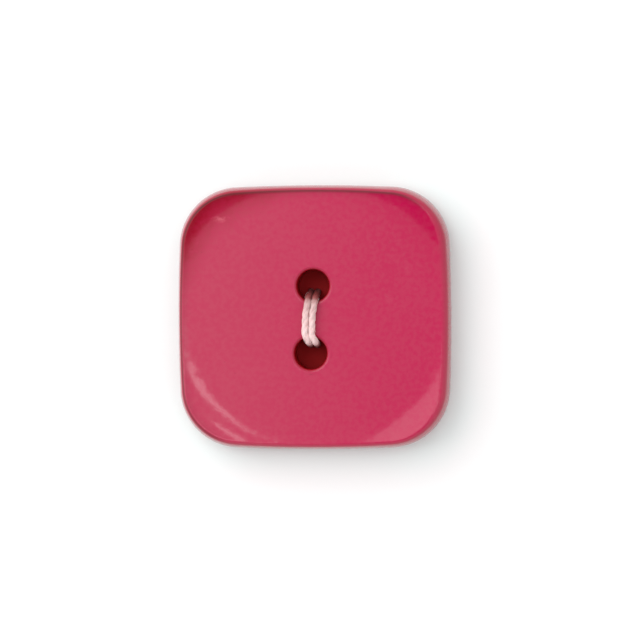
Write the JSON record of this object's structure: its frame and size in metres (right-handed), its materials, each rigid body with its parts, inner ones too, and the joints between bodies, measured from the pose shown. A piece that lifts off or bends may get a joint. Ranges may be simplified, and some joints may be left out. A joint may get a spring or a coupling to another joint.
{
  "type": "square sew-through button with stitch",
  "caption": "Square sew-through button with a turned dish face, upswept corners and a stitch of thread between its holes.",
  "frame": {"origin": "middle of the flat back, under the middle of the outline", "axes": "+Z out of the face, +Y along the holes towards the top of the picture, +X across them to the right"},
  "size_m": [0.018, 0.0172, 0.0031],
  "materials": {
    "crimson_plastic": "tumbled satin gloss with a faint mottle, darker along the rim",
    "pink_thread": "twisted sewing thread, soft sheen"
  },
  "bodies": {
    "root": {"button": "crimson_plastic", "thread_pass_left": "pink_thread", "thread_pass_right": "pink_thread"}
  },
  "joints": []
}
